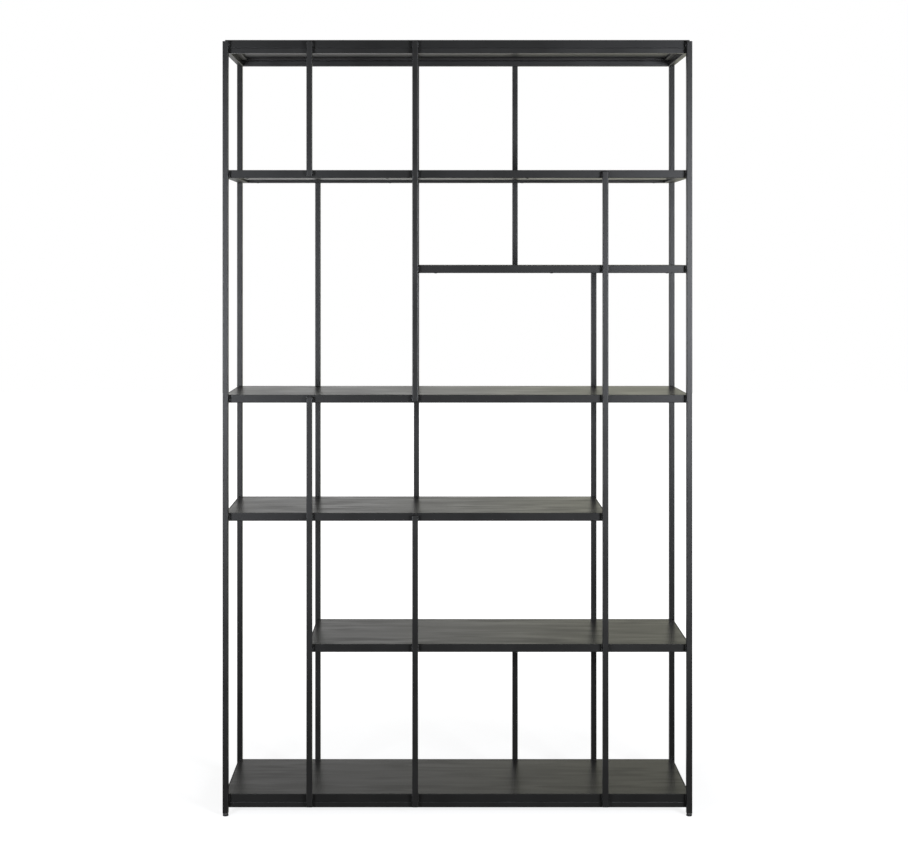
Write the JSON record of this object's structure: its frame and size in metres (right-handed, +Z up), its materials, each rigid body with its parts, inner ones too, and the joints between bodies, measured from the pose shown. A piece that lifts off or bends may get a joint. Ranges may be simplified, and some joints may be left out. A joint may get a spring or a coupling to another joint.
{
  "type": "open shelving bookcase",
  "caption": "Tall open bookcase: black square-tube steel frame with staggered front and back posts, fixed folded-steel trays holding black-stained wooden boards, on levelling feet.",
  "frame": {"origin": "on the floor, under the middle of the bookcase", "axes": "+X to the right seen from the front, +Y to the back, +Z up"},
  "size_m": [1.3, 0.35, 2.15],
  "materials": {
    "black_steel": "satin black powder coat",
    "stained_wood": "black stained, open grain, satin lacquer",
    "black_plastic": "moulded, matt",
    "zinc_steel": "bright zinc plate"
  },
  "bodies": {
    "root": {"shelf_top_tray": "black_steel", "shelf_top_board": "stained_wood", "shelf_upper_tray": "black_steel", "shelf_upper_board": "stained_wood", "shelf_high_tray": "black_steel", "shelf_high_board": "stained_wood", "shelf_middle_tray": "black_steel", "shelf_middle_board": "stained_wood", "shelf_low_tray": "black_steel", "shelf_low_board": "stained_wood", "shelf_lower_tray": "black_steel", "shelf_lower_board": "stained_wood", "shelf_bottom_tray": "black_steel", "shelf_bottom_board": "stained_wood", "rail_top_front": "black_steel", "rail_top_back": "black_steel", "rail_top_left": "black_steel", "rail_top_right": "black_steel", "rail_bottom_front": "black_steel", "rail_bottom_back": "black_steel", "rail_bottom_left": "black_steel", "rail_bottom_right": "black_steel", "post_front_upper_left": "black_steel", "post_front_lower_left": "black_steel", "post_front_upper_centre": "black_steel", "post_front_lower_centre": "black_steel", "post_front_lower_right": "black_steel", "post_back_lower_left": "black_steel", "post_back_upper_centre": "black_steel", "post_back_upper_right": "black_steel", "post_back_lower_centre": "black_steel", "post_back_lower_right": "black_steel", "post_corner_front_left": "black_steel", "foot_insert_front_left": "black_plastic", "post_corner_front_right": "black_steel", "foot_insert_front_right": "black_plastic", "post_corner_back_left": "black_steel", "foot_insert_back_left": "black_plastic", "post_corner_back_right": "black_steel", "foot_insert_back_right": "black_plastic"},
    "pad_front_left": {"foot_pad_front_left": "black_plastic"},
    "stem_front_left": {"foot_stem_front_left": "zinc_steel"},
    "pad_front_right": {"foot_pad_front_right": "black_plastic"},
    "stem_front_right": {"foot_stem_front_right": "zinc_steel"},
    "pad_back_left": {"foot_pad_back_left": "black_plastic"},
    "stem_back_left": {"foot_stem_back_left": "zinc_steel"},
    "pad_back_right": {"foot_pad_back_right": "black_plastic"},
    "stem_back_right": {"foot_stem_back_right": "zinc_steel"}
  },
  "joints": [
    {"name": "level_front_left", "type": "slide", "parent": "root", "child": "pad_front_left", "axis": [0, 0, -1], "range_m": [0, 0.01]},
    {"name": "turn_front_left", "type": "hinge", "parent": "pad_front_left", "child": "stem_front_left", "pos_m": [-0.642, -0.167, 0.01], "axis": [0, 0, -1], "range_deg": [0, 3600]},
    {"name": "level_front_right", "type": "slide", "parent": "root", "child": "pad_front_right", "axis": [0, 0, -1], "range_m": [0, 0.01]},
    {"name": "turn_front_right", "type": "hinge", "parent": "pad_front_right", "child": "stem_front_right", "pos_m": [0.642, -0.167, 0.01], "axis": [0, 0, -1], "range_deg": [0, 3600]},
    {"name": "level_back_left", "type": "slide", "parent": "root", "child": "pad_back_left", "axis": [0, 0, -1], "range_m": [0, 0.01]},
    {"name": "turn_back_left", "type": "hinge", "parent": "pad_back_left", "child": "stem_back_left", "pos_m": [-0.642, 0.167, 0.01], "axis": [0, 0, -1], "range_deg": [0, 3600]},
    {"name": "level_back_right", "type": "slide", "parent": "root", "child": "pad_back_right", "axis": [0, 0, -1], "range_m": [0, 0.01]},
    {"name": "turn_back_right", "type": "hinge", "parent": "pad_back_right", "child": "stem_back_right", "pos_m": [0.642, 0.167, 0.01], "axis": [0, 0, -1], "range_deg": [0, 3600]}
  ],
  "couplings": [
    {"joint": "turn_front_left", "follows": "level_front_left", "rad_per_m": 6283.2},
    {"joint": "turn_front_right", "follows": "level_front_right", "rad_per_m": 6283.2},
    {"joint": "turn_back_left", "follows": "level_back_left", "rad_per_m": 6283.2},
    {"joint": "turn_back_right", "follows": "level_back_right", "rad_per_m": 6283.2}
  ]
}
